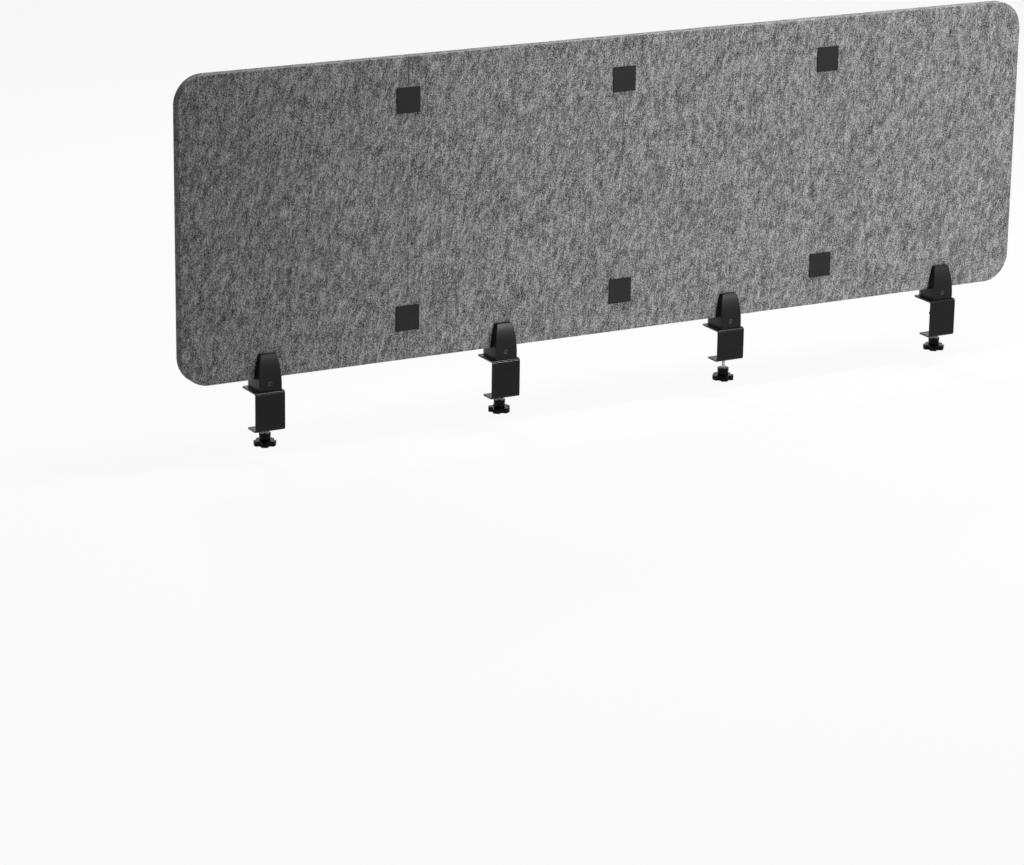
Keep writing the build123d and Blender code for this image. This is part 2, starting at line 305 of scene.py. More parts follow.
def add_modifier(piece, kind, **settings):
    """Adds a modifier, gives it its settings and applies it."""
    take_up(piece)
    modifier = piece.modifiers.new(kind.title(), kind)
    for key, value in settings.items():
        setattr(modifier, key, value)
    bpy.ops.object.modifier_apply(modifier=modifier.name)


def combine(piece, tool, kind):
    """Cuts a tool's shape out of a piece, or joins it on, and drops the tool."""
    add_modifier(piece, "BOOLEAN", operation=kind, object=tool, solver="EXACT")
    bpy.data.objects.remove(tool)


def soften(piece, radius, steps=2, sharpest=ROUNDED_PAST):
    """Rounds a piece's sharp edges a little, as a coated or moulded edge is."""
    add_modifier(
        piece,
        "BEVEL",
        width=radius,
        segments=steps,
        limit_method="ANGLE",
        angle_limit=radians(sharpest),
    )


def smooth(piece, crease=CREASE):
    """Shades a piece smooth up to an angle, with its broad faces kept flat."""
    take_up(piece)
    bpy.ops.object.shade_smooth_by_angle(angle=radians(crease))
    add_modifier(piece, "WEIGHTED_NORMAL", keep_sharp=True)


def face_outwards(piece):
    """Merges doubled points and turns every face outwards."""
    edit(piece)
    bpy.ops.mesh.select_all(action="SELECT")
    bpy.ops.mesh.remove_doubles(threshold=DOUBLED)
    bpy.ops.mesh.normals_make_consistent(inside=False)
    leave_edit()


def copy_to(piece, name, shift):
    """A copy with its own mesh, moved by a shift."""
    twin = piece.copy()
    twin.data = piece.data.copy()
    twin.name = name
    bpy.context.scene.collection.objects.link(twin)
    twin.location = shift
    set_in_place(twin)
    return twin


def start_piece(name, size=(1, 1, 1)):
    """Takes the primitive just added as a piece, drawn out to a size."""
    piece = bpy.context.object
    piece.name = name
    piece.scale = size
    set_in_place(piece)
    return piece


def cuboid(name, low, high):
    """A box piece between two corners."""
    deselect_all()
    middle = [(a + b) / 2 for a, b in zip(low, high)]
    bpy.ops.mesh.primitive_cube_add(size=1, location=middle)
    return start_piece(name, [b - a for a, b in zip(low, high)])


def level_sheet(name, middle, width, depth):
    """A flat rectangle that lies level."""
    deselect_all()
    bpy.ops.mesh.primitive_plane_add(size=1, location=middle)
    return start_piece(name, (width, depth, 1))


def upright_sheet(name, middle, width, height):
    """A flat rectangle that stands upright along X."""
    deselect_all()
    bpy.ops.mesh.primitive_plane_add(size=1, location=middle, rotation=(radians(90), 0, 0))
    return start_piece(name, (width, height, 1))


def rod(name, radius, middle, length, tilt=0, sides=ROUND_SIDES):
    """A round bar round a middle point, along Z or tilted about X."""
    deselect_all()
    bpy.ops.mesh.primitive_cylinder_add(
        vertices=sides,
        radius=radius,
        depth=length,
        location=middle,
        rotation=(radians(tilt), 0, 0),
    )
    return start_piece(name)


def rod_up(name, radius, x, y, bottom, top, sides=ROUND_SIDES):
    """A round bar along Z between two heights."""
    return rod(name, radius, (x, y, (bottom + top) / 2), top - bottom, sides=sides)


def rod_back(name, radius, x, z, front, rear):
    """A round bar along Y between two depths."""
    return rod(name, radius, (x, (front + rear) / 2, z), rear - front, tilt=90)


def turned(name, steps, sides=ROUND_SIDES):
    """A turned piece on the Z axis: a disc drawn up through radii and heights."""
    (radius, height), *rest = steps
    deselect_all()
    bpy.ops.mesh.primitive_circle_add(
        vertices=sides, radius=radius, fill_type="NGON", location=(0, 0, height)
    )
    piece = start_piece(name)
    edit(piece)
    bpy.ops.mesh.select_mode(type="FACE")
    bpy.ops.mesh.select_all(action="SELECT")
    for next_radius, next_height in rest:
        extrude(0, 0, next_height - height)
        share = next_radius / radius
        resize((share, share, 1), (0, 0, next_height))
        radius, height = next_radius, next_height
    leave_edit()
    face_outwards(piece)
    return piece


def place_along(piece, place, tilt=0, turn=0):
    """Tips a turned piece about X, turns it about Z and moves its origin to a place."""
    piece.rotation_euler = (radians(tilt), 0, radians(turn))
    piece.location = place
    set_in_place(piece)


def dress(piece, body, material, slot, *nodes):
    """Gives a finished piece its material and body, and the nodes that it stands for."""
    piece.data.materials.clear()
    piece.data.materials.append(material)
    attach(piece, body)
    if nodes:
        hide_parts(*nodes)


def carried_over(name, material):
    """A CAD node that stays as it is, with its material."""
    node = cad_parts[name]
    node.data.materials.clear()
    node.data.materials.append(material)


# Materials


def new_material(name):
    """A node material, with its tree and its main shader."""
    material = bpy.data.materials.new(name)
    material.use_nodes = True
    tree = material.node_tree
    shader = tree.nodes["Principled BSDF"]
    return material, tree, shader


def object_place(tree, length=1, lean=0):
    """The piece's own coordinates, drawn out upwards by a factor and leant to the right."""
    coordinates = tree.nodes.new("ShaderNodeTexCoord")
    mapping = tree.nodes.new("ShaderNodeMapping")
    mapping.vector_type = "TEXTURE"
    mapping.inputs["Scale"].default_value = (1, 1, length)
    mapping.inputs["Rotation"].default_value = (0, radians(lean), 0)
    tree.links.new(coordinates.outputs["Object"], mapping.inputs["Vector"])
    return mapping.outputs["Vector"]


def noise(tree, place, scale, detail=2.0, roughness=0.5, distortion=0.0):
    texture = tree.nodes.new("ShaderNodeTexNoise")
    texture.inputs["Scale"].default_value = scale
    texture.inputs["Detail"].default_value = detail
    texture.inputs["Roughness"].default_value = roughness
    texture.inputs["Distortion"].default_value = distortion
    tree.links.new(place, texture.inputs["Vector"])
    return texture.outputs["Fac"]


def stretch(tree, value, low, high, to_low=0.0, to_high=1.0):
    """Maps a value's range to another range, and holds it inside."""
    node = tree.nodes.new("ShaderNodeMapRange")
    node.inputs["From Min"].default_value = low
    node.inputs["From Max"].default_value = high
    node.inputs["To Min"].default_value = to_low
    node.inputs["To Max"].default_value = to_high
    tree.links.new(value, node.inputs["Value"])
    return node.outputs["Result"]


def blend_values(tree, kind, first, second):
    """One value from two, each a socket or a number."""
    node = tree.nodes.new("ShaderNodeMath")
    node.operation = kind
    for socket, value in zip(node.inputs, (first, second)):
        if isinstance(value, (int, float)):
            socket.default_value = value
        else:
            tree.links.new(value, socket)
    return node.outputs["Value"]


def ramp(tree, value, *stops):
    """A colour ramp with grey or coloured stops, each a place and a colour."""
    node = tree.nodes.new("ShaderNodeValToRGB")
    elements = node.color_ramp.elements
    while len(elements) < len(stops):
        elements.new(0.5)
    for element, (place, colour) in zip(elements, stops):
        element.position = place
        element.color = (*colour, 1)
    tree.links.new(value, node.inputs["Fac"])
    return node.outputs["Color"]


def bump(tree, shader, height, depth, strength=1.0):
    node = tree.nodes.new("ShaderNodeBump")
    node.inputs["Strength"].default_value = strength
    node.inputs["Distance"].default_value = depth
    tree.links.new(height, node.inputs["Height"])
    tree.links.new(node.outputs["Normal"], shader.inputs["Normal"])


def marl_felt():
    """Pressed grey felt: a fine speckle, crossed by long leaning fibres, over soft clouds."""
    material, tree, shader = new_material("marl_felt")
    speckle = noise(tree, object_place(tree, length=1.6, lean=35), scale=760, detail=1)
    steep = noise(tree, object_place(tree, length=14, lean=2), scale=440, detail=1, distortion=1)
    leaning = noise(tree, object_place(tree, length=9, lean=16), scale=460, detail=1, distortion=1)
    fibres = blend_values(tree, "MAXIMUM", steep, leaning)
    clouds = noise(tree, object_place(tree, length=2, lean=20), scale=120, detail=3, roughness=0.65)
    speckle = stretch(tree, speckle, 0.2, 0.8)
    fine = blend_values(tree, "ADD", speckle, stretch(tree, fibres, 0.26, 0.8, to_high=0.4))
    mixed = blend_values(tree, "ADD", fine, stretch(tree, clouds, 0.2, 0.8, to_high=0.5))
    colour = ramp(
        tree,
        stretch(tree, mixed, 0.53, 1.33),
        (0.0, (0.020, 0.020, 0.021)),
        (0.5, (0.185, 0.185, 0.186)),
        (1.0, (0.620, 0.620, 0.615)),
    )
    tree.links.new(colour, shader.inputs["Base Color"])
    shader.inputs["Roughness"].default_value = 0.95
    shader.inputs["Specular IOR Level"].default_value = 0.1
    shader.inputs["Sheen Weight"].default_value = 0.05
    shader.inputs["Sheen Roughness"].default_value = 0.6
    bump(tree, shader, fine, depth=0.3 * MM, strength=0.5)
    return material


def powder_coat(name, dark, light, rough, shine):
    """Fine black powder coat: an even dark colour with a slight grain."""
    material, tree, shader = new_material(name)
    place = object_place(tree)
    patches = noise(tree, place, scale=60, detail=2)
    grain = noise(tree, place, scale=1700, detail=2, roughness=0.6)
    colour = ramp(tree, patches, (0.3, (dark,) * 3), (0.7, (light,) * 3))
    tree.links.new(colour, shader.inputs["Base Color"])
    roughness = stretch(tree, grain, 0.3, 0.7, rough - 0.05, rough + 0.06)
    tree.links.new(roughness, shader.inputs["Roughness"])
    shader.inputs["Specular IOR Level"].default_value = shine
    bump(tree, shader, grain, depth=0.04 * MM, strength=0.5)
    return material


def glossy_moulding():
    """The knobs' smooth black plastic, with a faint moulded unevenness."""
    material, tree, shader = new_material("glossy_black_moulding")
    place = object_place(tree)
    waves = noise(tree, place, scale=160, detail=2)
    colour = ramp(tree, waves, (0.3, (0.001, 0.001, 0.0011)), (0.7, (0.002, 0.002, 0.0022)))
    tree.links.new(colour, shader.inputs["Base Color"])
    roughness = stretch(tree, noise(tree, place, scale=900, detail=3), 0.3, 0.7, 0.08, 0.13)
    tree.links.new(roughness, shader.inputs["Roughness"])
    shader.inputs["Specular IOR Level"].default_value = 0.08
    bump(tree, shader, waves, depth=0.05 * MM, strength=0.3)
    return material


def grained(
    name, dark, light, rough, scale, detail, depth, strength, length=1, metal=0.0, shine=0.5
):
    """One grain, drawn out upwards by a length, for a finish's colour, roughness and bumps."""
    material, tree, shader = new_material(name)
    pattern = noise(tree, object_place(tree, length), scale, detail)
    tree.links.new(ramp(tree, pattern, (0.3, dark), (0.7, light)), shader.inputs["Base Color"])
    tree.links.new(stretch(tree, pattern, 0.3, 0.7, *rough), shader.inputs["Roughness"])
    shader.inputs["Metallic"].default_value = metal
    shader.inputs["Specular IOR Level"].default_value = shine
    bump(tree, shader, pattern, depth, strength)
    return material


def matt_moulding():
    """The pads' matt black plastic."""
    return grained(
        "matt_black_moulding",
        dark=(0.010, 0.010, 0.010),
        light=(0.018, 0.018, 0.019),
        rough=(0.5, 0.62),
        scale=1100,
        detail=3,
        depth=0.03 * MM,
        strength=0.4,
        shine=0.3,
    )


def liner_rubber():
    """Matt rubber sheet with a fine grain."""
    return grained(
        "liner_rubber",
        dark=(0.007, 0.007, 0.007),
        light=(0.016, 0.016, 0.016),
        rough=(0.78, 0.9),
        scale=1400,
        detail=2,
        depth=0.05 * MM,
        strength=0.5,
        shine=0.2,
    )


def plated_steel():
    """Bright zinc-plated screw steel with fine marks round the shaft."""
    return grained(
        "plated_steel",
        dark=(0.52, 0.52, 0.53),
        light=(0.68, 0.68, 0.69),
        rough=(0.24, 0.38),
        scale=300,
        detail=3,
        depth=0.01 * MM,
        strength=0.3,
        length=0.07,
        metal=1.0,
    )


def black_oxide():
    """Satin black oxide on small screws."""
    return grained(
        "black_oxide",
        dark=(0.05, 0.05, 0.052),
        light=(0.08, 0.08, 0.082),
        rough=(0.33, 0.46),
        scale=800,
        detail=3,
        depth=0.01 * MM,
        strength=0.3,
        metal=0.6,
    )


# Pieces


def runs_along(piece, edge, axis):
    """Whether an edge lies along an axis: 0 for X, 1 for Y, 2 for Z."""
    a, b = edge_ends(piece, edge)
    return all(alike(a[other], b[other]) for other in range(3) if other != axis)


def seam_bosses(number):
    """The places, across and up, where bosses pass through a felt section."""
    places = []
    for seam, side in ((number - 1, 1), (number, -1)):
        if 1 <= seam <= SEAMS:
            for row in ("lower", "upper"):
                low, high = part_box(f"front_joining_plate_{row}_{seam}")
                middle = (low + high) / 2
                places.append((middle.x + side * BOSS_SPREAD, middle.z))
    return places


def felt_board(layer, number, material):
    """One board of felt, with soft cut edges, round outer corners and holes for the bosses."""
    node = f"{layer}_felt_board_{number}"
    low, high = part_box(node)
    board = cuboid(f"felt_{layer}_{number}", low, high)
    ends = {1: [low.x], SECTIONS: [high.x]}.get(number, [])
    seam_sides = [side for side, x in ((-1, low.x), (1, high.x)) if x not in ends]

    def at_corner(edge):
        a, b = edge_ends(board, edge)
        return any(alike(a.x, b.x, end) for end in ends) and alike(a.z, b.z)

    def on_front_or_rear(edge):
        a, b = edge_ends(board, edge)
        at_seam = alike(a.x, b.x) and any(alike(a.x, x) for x in (low.x, high.x) if x not in ends)
        return alike(a.y, b.y) and not at_seam

    edit(board)
    if ends:
        choose(board, "edges", at_corner)
        round_off(CORNER_RADIUS, CORNER_STEPS)
    choose(board, "edges", on_front_or_rear)
    round_off(FELT_EDGE_RADIUS, FELT_EDGE_STEPS)
    for side in seam_sides:
        choose_rim(board, (side, 0, 0), lambda edge: True)
        round_off(FELT_SEAM_RADIUS, FELT_SEAM_STEPS)
    leave_edit()
    for x, z in seam_bosses(number):
        hole = rod_back("boss_hole", BOSS_HOLE_RADIUS, x, z, low.y - PAST, high.y + PAST)
        combine(board, hole, "DIFFERENCE")
    smooth(board, FELT_CREASE)
    dress(board, "panel", material, "felt", node)


def square_plate(name, low, high):
    """A square plate with round corners and softened edges."""
    plate = cuboid(name, low, high)
    edit(plate)
    choose(plate, "edges", lambda edge: runs_along(plate, edge, 1))
    round_off(PLATE_CORNER_RADIUS, PLATE_CORNER_STEPS)
    leave_edit()
    soften(plate, PLATE_EDGE_RADIUS)
    return plate


def front_plate(node):
    """The front plate, with its two drilled bosses."""
    low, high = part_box(node)
    middle = (low + high) / 2
    back = low.y + PLATE_THICKNESS
    plate = square_plate(node + "_coated", low, (high.x, back, high.z))
    drilled_from = felt_rear + PLATE_THICKNESS - JOINING_SCREW_LENGTH
    for side in (-1, 1):
        x = middle.x + side * BOSS_SPREAD
        boss = rod_back("boss", BOSS_RADIUS, x, middle.z, back - PLATE_THICKNESS / 2, high.y)
        combine(plate, boss, "UNION")
        drilled_to = high.y + PAST
        drilling = rod_back("drilling", JOINING_SCREW_RADIUS, x, middle.z, drilled_from, drilled_to)
        combine(plate, drilling, "DIFFERENCE")
    smooth(plate)
    return plate


def rear_plate(node):
    """The rear plate, with its two countersunk holes."""
    low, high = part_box(node)
    middle = (low + high) / 2
    plate = square_plate(node + "_coated", low, high)
    for side in (-1, 1):
        sink = countersunk("sink", PAST)
        place_along(sink, (middle.x + side * BOSS_SPREAD, high.y, middle.z), 90)
        combine(plate, sink, "DIFFERENCE")
    smooth(plate)
    return plate


def countersunk(name, above=0):
    """A countersunk screw on the Z axis, its flat head at the origin or drawn on past it."""
    steps = [(JOINING_SCREW_HEAD_RADIUS, -above)] if above else []
    steps += [
        (JOINING_SCREW_HEAD_RADIUS, 0),
        (JOINING_SCREW_RADIUS, JOINING_SCREW_HEAD_HEIGHT),
        (JOINING_SCREW_RADIUS, JOINING_SCREW_LENGTH),
    ]
    return turned(name, steps)


def joining_screws(material):
    """The twelve countersunk screws, each with a six-sided key socket."""
    places = []
    for row in ("lower", "upper"):
        for seam in range(1, SEAMS + 1):
            low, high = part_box(f"rear_joining_plate_{row}_{seam}")
            middle = (low + high) / 2
            places += [Vector((middle.x + side * BOSS_SPREAD, high.y, middle.z)) for side in (-1, 1)]
    screw = countersunk("joining_screws_keyed")
    key = rod_up("key", JOINING_SCREW_KEY_RADIUS, 0, 0, -PAST, JOINING_SCREW_KEY_DEPTH, KEY_SIDES)
    combine(screw, key, "DIFFERENCE")
    smooth(screw)
    place_along(screw, places[0], 90)
    copies = [copy_to(screw, "screw", place - places[0]) for place in places[1:]]
    take_up(screw)
    for copy in copies:
        copy.select_set(True)
    bpy.ops.object.join()
    dress(screw, "panel", material, "black_screw", "joining_screws")


def make_panel():
    felt = marl_felt()
    plates = powder_coat("plate_powder_coat", dark=0.008, light=0.011, rough=0.5, shine=0.25)
    for number in range(1, SECTIONS + 1):
        felt_board("front", number, felt)
        felt_board("rear", number, felt)
    for side, make in (("front", front_plate), ("rear", rear_plate)):
        for row in ("lower", "upper"):
            for seam in range(1, SEAMS + 1):
                node = f"{side}_joining_plate_{row}_{seam}"
                dress(make(node), "panel", plates, "plate_coat", node)
    joining_screws(black_oxide())


def screw_axis(number):
    """Where the clamp screw stands: its place across and back."""
    low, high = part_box(f"clamp_screw_{number}")
    return (low.x + high.x) / 2, (low.y + high.y) / 2


def bent_bracket(number):
    """The bent sheet, folded out from its spine, with the tapped boss on its flange."""
    low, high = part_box(f"clamp_bracket_{number}")
    middle = (low + high) / 2
    spine_middle = (middle.x, low.y, middle.z)
    bracket = upright_sheet("bracket", spine_middle, high.x - low.x, high.z - low.z)

    def across_at(edge, y, *heights):
        a, b = edge_ends(bracket, edge)
        return alike(a.y, b.y, y) and any(alike(a.z, b.z, z) for z in heights)

    edit(bracket)
    for z, depth in ((high.z, high.y - low.y), (low.z, FLANGE_DEPTH)):
        choose(bracket, "edges", lambda edge: across_at(edge, low.y, z))
        extrude(0, depth, 0)
    choose(bracket, "edges", lambda edge: across_at(edge, low.y, low.z, high.z))
    round_off(OUTER_BEND_RADIUS, BEND_STEPS)
    leave_edit()
    add_modifier(bracket, "SOLIDIFY", thickness=SHEET, offset=-1, use_even_offset=True)

    def at_free_corner(edge):
        a = edge_ends(bracket, edge)[0]
        free = alike(a.y, high.y) or alike(a.y, low.y + FLANGE_DEPTH)
        return free and runs_along(bracket, edge, 2)

    edit(bracket)
    choose(bracket, "edges", at_free_corner)
    round_off(BRACKET_CORNER_RADIUS, BRACKET_CORNER_STEPS)
    leave_edit()
    x, y = screw_axis(number)
    boss_top = low.z + SHEET + TAPPED_BOSS_HEIGHT
    boss = rod_up("boss", TAPPED_BOSS_RADIUS, x, y, low.z + SHEET / 2, boss_top)
    combine(bracket, boss, "UNION")
    tapping = rod_up("tapping", TAPPED_HOLE_RADIUS, x, y, low.z - PAST, boss_top + PAST)
    combine(bracket, tapping, "DIFFERENCE")
    soften(bracket, BRACKET_EDGE_RADIUS)
    smooth(bracket)
    return bracket


def drawn_in(height, whole):
    """How far a side is drawn in at a height, by an arc from where it stands upright."""
    rise = max(height - UPRIGHT_HEIGHT, 0)
    span = JAW_HEIGHT - UPRIGHT_HEIGHT
    radius = (span ** 2 + whole ** 2) / (2 * whole)
    return radius - sqrt(radius ** 2 - rise ** 2)


def lies_at(piece, edge, y, z):
    """Whether an edge lies along X at a depth and a height."""
    a, b = edge_ends(piece, edge)
    return alike(a.y, b.y, y) and alike(a.z, b.z, z)


def drawn_up(name, low, high, heights, inner_y, side, depth):
    """A jaw drawn up from its foot, level by level, and narrowed towards its outer face."""
    middle_x = (low.x + high.x) / 2
    half_foot = (high.x - low.x) / 2
    foot_middle = (middle_x, inner_y + side * depth(0) / 2, low.z)
    jaw = level_sheet(name, foot_middle, 2 * half_foot, depth(0))
    edit(jaw)
    bpy.ops.mesh.select_mode(type="FACE")
    bpy.ops.mesh.select_all(action="SELECT")
    for below, above in zip(heights, heights[1:]):
        extrude(0, 0, above - below)
        narrower = (half_foot - drawn_in(above, SIDE_DRAW)) / (half_foot - drawn_in(below, SIDE_DRAW))
        thinner = depth(above) / depth(below)
        resize((narrower, thinner, 1), (middle_x, inner_y, low.z + above))
    for height in heights:
        outer_y = inner_y + side * depth(height)
        z = low.z + height
        wide = half_foot - drawn_in(height, SIDE_DRAW)
        narrow = wide - JAW_FLARE * depth(height) / depth(0)
        choose(jaw, "edges", lambda edge: lies_at(jaw, edge, outer_y, z))
        resize((narrow / wide, 1, 1), (middle_x, outer_y, z))
    leave_edit()
    face_outwards(jaw)
    return jaw


def round_jaw(jaw, low, high, side):
    """Rounds a jaw's two top corners, and then the rim of its outer face."""

    def at_top_corner(edge):
        a, b = edge_ends(jaw, edge)
        return alike(a.z, b.z, high.z) and not alike(a.y, b.y)

    def above_foot(edge):
        return not all(alike(point.z, low.z) for point in edge_ends(jaw, edge))

    edit(jaw)
    choose(jaw, "edges", at_top_corner)
    round_off(JAW_TOP_CORNER, JAW_CORNER_STEPS)
    choose_rim(jaw, (0, side, 0), above_foot)
    round_off(JAW_RIM_RADIUS, JAW_RIM_STEPS)
    leave_edit()


def tower(number):
    """The leaning tower with the floor block that the felt stands on."""
    low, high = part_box(f"panel_holder_{number}")
    middle_x = (low.x + high.x) / 2
    floor_height = felt_bottom - low.z
    foot_depth = felt_front - low.y
    step = (JAW_HEIGHT - floor_height) / JAW_LEVELS
    steps = [floor_height + n * step for n in range(JAW_LEVELS - 1)]
    heights = [0, UPRIGHT_HEIGHT, (UPRIGHT_HEIGHT + floor_height) / 2, *steps, JAW_HEIGHT]

    def depth_at(height):
        return foot_depth - drawn_in(height, TOWER_LEAN)

    def under_felt(face):
        return face.normal.y > FACING_SQUARELY and face.center.z < felt_bottom

    piece = drawn_up("tower", low, high, heights, felt_front, -1, depth_at)
    edit(piece)
    choose(piece, "faces", under_felt)
    extrude(0, high.y - felt_front, 0)
    leave_edit()
    round_jaw(piece, low, high, -1)
    z = low.z + JAW_SCREW_HEIGHT
    seat = low.y + JAW_SCREW_HEAD_SINK + JAW_SCREW_HEAD_HEIGHT
    counterbore = rod_back("counterbore", COUNTERBORE_RADIUS, middle_x, z, low.y - PAST, seat)
    combine(piece, counterbore, "DIFFERENCE")
    hole = rod_back("hole", JAW_HOLE_RADIUS, middle_x, z, seat - PAST, high.y + PAST)
    combine(piece, hole, "DIFFERENCE")
    smooth(piece)
    return piece


def rear_jaw(number):
    """The jaw behind the felt, its outer face sloping in."""
    low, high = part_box(f"rear_jaw_{number}")
    middle_x = (low.x + high.x) / 2
    foot_depth = high.y - low.y
    heights = [n * JAW_HEIGHT / JAW_LEVELS for n in range(JAW_LEVELS - 1)] + [JAW_HEIGHT]
    slope = (foot_depth - REAR_JAW_TOP) / JAW_HEIGHT

    def depth_at(height):
        return foot_depth - slope * height

    jaw = drawn_up("rear_jaw", low, high, heights, low.y, 1, depth_at)
    round_jaw(jaw, low, low + Vector((0, 0, JAW_HEIGHT)), 1)
    z = low.z + JAW_SCREW_HEIGHT
    hole = rod_back("hole", JAW_HOLE_RADIUS, middle_x, z, low.y - PAST, high.y + PAST)
    combine(jaw, hole, "DIFFERENCE")
    smooth(jaw)
    return jaw


def jaw_screw(number):
    """The socket screw that draws the rear jaw in."""
    low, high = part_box(f"jaw_screw_{number}")
    middle = (low + high) / 2
    steps = (
        (JAW_SCREW_HEAD_RADIUS, 0),
        (JAW_SCREW_HEAD_RADIUS, JAW_SCREW_HEAD_HEIGHT),
        (JAW_SCREW_RADIUS, JAW_SCREW_HEAD_HEIGHT),
        (JAW_SCREW_RADIUS, high.y - low.y),
    )
    screw = turned("jaw_screw", steps)
    key = rod_up("key", JAW_SCREW_KEY_RADIUS, 0, 0, -PAST, JAW_SCREW_KEY_DEPTH, KEY_SIDES)
    combine(screw, key, "DIFFERENCE")
    soften(screw, JAW_SCREW_EDGE, sharpest=TURNED_ROUNDED_PAST)
    smooth(screw)
    place_along(screw, (middle.x, low.y, middle.z), -90)
    return screw


def swivel_pad(number):
    """The round pad on top of the screw, with a blind socket for its point."""
    low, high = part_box(f"swivel_pad_{number}")
    middle = (low + high) / 2
    radius = (high.x - low.x) / 2
    height = high.z - low.z
    steps = (
        (PAD_NECK_RADIUS, 0),
        (radius, height - PAD_RIM_HEIGHT),
        (radius, height - PAD_RIM_CHAMFER),
        (radius - PAD_RIM_CHAMFER, height),
    )
    pad = turned("swivel_pad", steps, BROAD_SIDES)
    socket = rod_up("socket", TAPPED_HOLE_RADIUS, 0, 0, -PAST, PAD_SOCKET_DEPTH)
    combine(pad, socket, "DIFFERENCE")
    smooth(pad)
    place_along(pad, (middle.x, middle.y, low.z))
    return pad


def clamp_screw(number):
    """The spindle, with a real helical thread cut square at both ends."""
    low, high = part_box(f"clamp_screw_{number}")
    x, y = screw_axis(number)
    length = high.z - low.z
    root = CLAMP_SCREW_RADIUS - THREAD_DEPTH
    flank_middle = (root + THREAD_DEPTH / 2, 0, 0)
    screw = upright_sheet("clamp_screw", flank_middle, THREAD_DEPTH, CLAMP_SCREW_PITCH)
    edit(screw)
    bpy.ops.mesh.select_all(action="SELECT")
    bpy.ops.mesh.delete(type="ONLY_FACE")
    choose(screw, "edges", lambda edge: all(alike(p.x, root) for p in edge_ends(screw, edge)))
    bpy.ops.mesh.delete(type="EDGE")
    crest = CLAMP_SCREW_RADIUS
    choose(screw, "edges", lambda edge: all(alike(p.x, crest) for p in edge_ends(screw, edge)))
    resize((1, 1, THREAD_CREST_SHARE), (crest, 0, 0))
    leave_edit()
    add_modifier(
        screw,
        "SCREW",
        axis="Z",
        screw_offset=CLAMP_SCREW_PITCH,
        iterations=ceil(length / CLAMP_SCREW_PITCH) + THREAD_SPARE_TURNS,
        steps=THREAD_STEPS,
        render_steps=THREAD_STEPS,
    )
    face_outwards(screw)
    foot = THREAD_TURNS_BELOW_CUT * CLAMP_SCREW_PITCH
    edit(screw)
    for z, inner in ((foot, True), (foot + length, False)):
        bpy.ops.mesh.select_all(action="SELECT")
        bpy.ops.mesh.bisect(
            plane_co=(0, 0, z),
            plane_no=(0, 0, 1),
            use_fill=True,
            clear_inner=inner,
            clear_outer=not inner,
            threshold=THREAD_CUT_TOLERANCE,
        )
    leave_edit()
    face_outwards(screw)
    smooth(screw, THREAD_CREASE)
    place_along(screw, (x, y, low.z - foot))
    return screw


def lobe_legs():
    """The arcs from one lobe's middle to the next: where each is centred, its sweep and steps."""
    reach = KNOB_RADIUS - KNOB_LOBE_CORNER
    gap = KNOB_NOTCH_RADIUS + KNOB_LOBE_CORNER
    turn = acos((reach ** 2 + KNOB_NOTCH_CENTRE ** 2 - gap ** 2) / (2 * reach * KNOB_NOTCH_CENTRE))
    tilt = asin(reach * sin(turn) / gap)
    half = pi / KNOB_LOBES
    return (
        (0, 0, half - turn, KNOB_CROWN_STEPS),
        (reach, half - turn, turn + tilt, KNOB_CORNER_STEPS),
        (KNOB_NOTCH_CENTRE, half, -2 * tilt, KNOB_NOTCH_STEPS),
        (reach, half + turn, turn + tilt, KNOB_CORNER_STEPS),
        (0, 0, half - turn, KNOB_CROWN_STEPS),
    )


def star_knob(height):
    """The knob's head, swept round its lobes and notches from one upright edge, and its collar."""
    slice_middle = (KNOB_RADIUS / 2, 0, KNOB_THICKNESS / 2)
    knob = upright_sheet("star_knob", slice_middle, KNOB_RADIUS, KNOB_THICKNESS)

    def inside_rim(edge):
        return not all(alike(point.x, KNOB_RADIUS) for point in edge_ends(knob, edge))

    edit(knob)
    choose(knob, "edges", inside_rim)
    bpy.ops.mesh.delete(type="EDGE")
    bpy.ops.mesh.select_all(action="SELECT")
    for lobe in range(KNOB_LOBES):
        for reach, turn, sweep, steps in lobe_legs():
            turn += lobe * 2 * pi / KNOB_LOBES
            centre = (reach * cos(turn), reach * sin(turn), 0)
            bpy.ops.mesh.spin(steps=steps, angle=-sweep, center=centre, axis=(0, 0, 1))
    choose(knob, "edges", lambda edge: not runs_along(knob, edge, 2))
    extrude(0, 0, 0)
    resize((0, 0, 1), (0, 0, 0))
    leave_edit()
    face_outwards(knob)
    soften(knob, KNOB_EDGE_RADIUS, KNOB_EDGE_STEPS, TURNED_ROUNDED_PAST)
    collar_steps = ((COLLAR_FOOT_RADIUS, KNOB_THICKNESS - PAST), (COLLAR_RADIUS, height))
    collar = turned("collar", collar_steps, BROAD_SIDES)
    soften(collar, COLLAR_EDGE, KNOB_EDGE_STEPS, TURNED_ROUNDED_PAST)
    combine(knob, collar, "UNION")
    bore = rod_up("bore", KNOB_BORE_RADIUS, 0, 0, height - KNOB_BORE_DEPTH, height + PAST)
    combine(knob, bore, "DIFFERENCE")
    smooth(knob, KNOB_CREASE)
    return knob


def knobs(material):
    """The knobs, each turned its own way on its screw."""
    low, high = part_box("clamp_knob_1")
    model = star_knob(high.z - low.z)
    half_lobe = 180 / KNOB_LOBES
    for number, turn in enumerate(KNOB_TURNS, 1):
        knob = copy_to(model, f"clamp_knob_{number}_finished", (0, 0, 0))
        place_along(knob, (*screw_axis(number), low.z), turn=turn - half_lobe)
        dress(knob, f"clamp_screw_{number}", material, "knob_plastic", f"clamp_knob_{number}")
    bpy.data.objects.remove(model)


